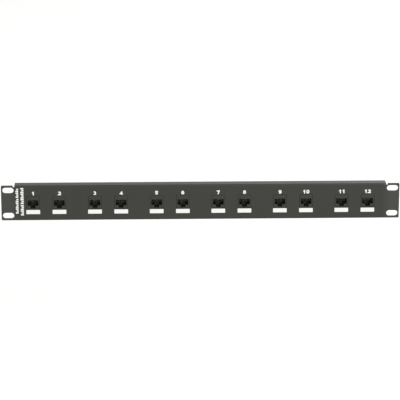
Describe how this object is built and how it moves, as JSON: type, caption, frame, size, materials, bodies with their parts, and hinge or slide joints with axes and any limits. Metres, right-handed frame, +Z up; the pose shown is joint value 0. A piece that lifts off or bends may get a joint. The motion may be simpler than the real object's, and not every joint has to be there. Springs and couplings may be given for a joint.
{
  "type": "patch bay",
  "caption": "One rack unit patch bay: a black steel 19-inch panel with modular jacks in twin modules, numbered and labelled, and punch-down blocks behind.",
  "frame": {"origin": "centre of the plane in which the ears' rear faces meet the rack rails", "axes": "+X to the right seen from the front, +Y to the rear, +Z up; the front faces -Y"},
  "size_m": [0.4826, 0.0339, 0.0436],
  "materials": {
    "panel_paint": "fine-textured satin black powder coat on steel",
    "jack_plastic": "satin black moulded plastic",
    "contact_gold": "gold-plated spring wire",
    "circuit_board": "green solder mask on glass-fibre laminate",
    "block_plastic": "ivory moulded plastic",
    "strip_plastic": "printed film with colour fields",
    "screw_zinc": "zinc-plated steel"
  },
  "bodies": {
    "panel": {"front_panel": "panel_paint", "circuit_board_1": "circuit_board", "punch_block_1": "block_plastic", "wiring_strip_1": "strip_plastic", "circuit_board_2": "circuit_board", "punch_block_2": "block_plastic", "wiring_strip_2": "strip_plastic", "circuit_board_3": "circuit_board", "punch_block_3": "block_plastic", "wiring_strip_3": "strip_plastic", "circuit_board_4": "circuit_board", "punch_block_4": "block_plastic", "wiring_strip_4": "strip_plastic", "circuit_board_5": "circuit_board", "punch_block_5": "block_plastic", "wiring_strip_5": "strip_plastic", "circuit_board_6": "circuit_board", "punch_block_6": "block_plastic", "wiring_strip_6": "strip_plastic", "jack_housing_01": "jack_plastic", "board_screw_01": "screw_zinc", "jack_housing_02": "jack_plastic", "board_screw_02": "screw_zinc", "jack_housing_03": "jack_plastic", "board_screw_03": "screw_zinc", "jack_housing_04": "jack_plastic", "board_screw_04": "screw_zinc", "jack_housing_05": "jack_plastic", "board_screw_05": "screw_zinc", "jack_housing_06": "jack_plastic", "board_screw_06": "screw_zinc", "jack_housing_07": "jack_plastic", "board_screw_07": "screw_zinc", "jack_housing_08": "jack_plastic", "board_screw_08": "screw_zinc", "jack_housing_09": "jack_plastic", "board_screw_09": "screw_zinc", "jack_housing_10": "jack_plastic", "board_screw_10": "screw_zinc", "jack_housing_11": "jack_plastic", "board_screw_11": "screw_zinc", "jack_housing_12": "jack_plastic", "board_screw_12": "screw_zinc"},
    "springs_01": {"contact_springs_01": "contact_gold"},
    "springs_02": {"contact_springs_02": "contact_gold"},
    "springs_03": {"contact_springs_03": "contact_gold"},
    "springs_04": {"contact_springs_04": "contact_gold"},
    "springs_05": {"contact_springs_05": "contact_gold"},
    "springs_06": {"contact_springs_06": "contact_gold"},
    "springs_07": {"contact_springs_07": "contact_gold"},
    "springs_08": {"contact_springs_08": "contact_gold"},
    "springs_09": {"contact_springs_09": "contact_gold"},
    "springs_10": {"contact_springs_10": "contact_gold"},
    "springs_11": {"contact_springs_11": "contact_gold"},
    "springs_12": {"contact_springs_12": "contact_gold"}
  },
  "joints": [
    {"name": "springs_01_lift", "type": "hinge", "parent": "panel", "child": "springs_01", "pos_m": [-0.20287, 0.0016, 0.0042], "axis": [1, 0, 0], "range_deg": [0, 20], "stiffness_Nm_per_rad": 0.02, "springref_deg": -8.59},
    {"name": "springs_02_lift", "type": "hinge", "parent": "panel", "child": "springs_02", "pos_m": [-0.17112, 0.0016, 0.0042], "axis": [1, 0, 0], "range_deg": [0, 20], "stiffness_Nm_per_rad": 0.02, "springref_deg": -8.59},
    {"name": "springs_03_lift", "type": "hinge", "parent": "panel", "child": "springs_03", "pos_m": [-0.12807, 0.0016, 0.0042], "axis": [1, 0, 0], "range_deg": [0, 20], "stiffness_Nm_per_rad": 0.02, "springref_deg": -8.59},
    {"name": "springs_04_lift", "type": "hinge", "parent": "panel", "child": "springs_04", "pos_m": [-0.09632, 0.0016, 0.0042], "axis": [1, 0, 0], "range_deg": [0, 20], "stiffness_Nm_per_rad": 0.02, "springref_deg": -8.59},
    {"name": "springs_05_lift", "type": "hinge", "parent": "panel", "child": "springs_05", "pos_m": [-0.05328, 0.0016, 0.0042], "axis": [1, 0, 0], "range_deg": [0, 20], "stiffness_Nm_per_rad": 0.02, "springref_deg": -8.59},
    {"name": "springs_06_lift", "type": "hinge", "parent": "panel", "child": "springs_06", "pos_m": [-0.02152, 0.0016, 0.0042], "axis": [1, 0, 0], "range_deg": [0, 20], "stiffness_Nm_per_rad": 0.02, "springref_deg": -8.59},
    {"name": "springs_07_lift", "type": "hinge", "parent": "panel", "child": "springs_07", "pos_m": [0.02152, 0.0016, 0.0042], "axis": [1, 0, 0], "range_deg": [0, 20], "stiffness_Nm_per_rad": 0.02, "springref_deg": -8.59},
    {"name": "springs_08_lift", "type": "hinge", "parent": "panel", "child": "springs_08", "pos_m": [0.05328, 0.0016, 0.0042], "axis": [1, 0, 0], "range_deg": [0, 20], "stiffness_Nm_per_rad": 0.02, "springref_deg": -8.59},
    {"name": "springs_09_lift", "type": "hinge", "parent": "panel", "child": "springs_09", "pos_m": [0.09632, 0.0016, 0.0042], "axis": [1, 0, 0], "range_deg": [0, 20], "stiffness_Nm_per_rad": 0.02, "springref_deg": -8.59},
    {"name": "springs_10_lift", "type": "hinge", "parent": "panel", "child": "springs_10", "pos_m": [0.12807, 0.0016, 0.0042], "axis": [1, 0, 0], "range_deg": [0, 20], "stiffness_Nm_per_rad": 0.02, "springref_deg": -8.59},
    {"name": "springs_11_lift", "type": "hinge", "parent": "panel", "child": "springs_11", "pos_m": [0.17112, 0.0016, 0.0042], "axis": [1, 0, 0], "range_deg": [0, 20], "stiffness_Nm_per_rad": 0.02, "springref_deg": -8.59},
    {"name": "springs_12_lift", "type": "hinge", "parent": "panel", "child": "springs_12", "pos_m": [0.20287, 0.0016, 0.0042], "axis": [1, 0, 0], "range_deg": [0, 20], "stiffness_Nm_per_rad": 0.02, "springref_deg": -8.59}
  ]
}
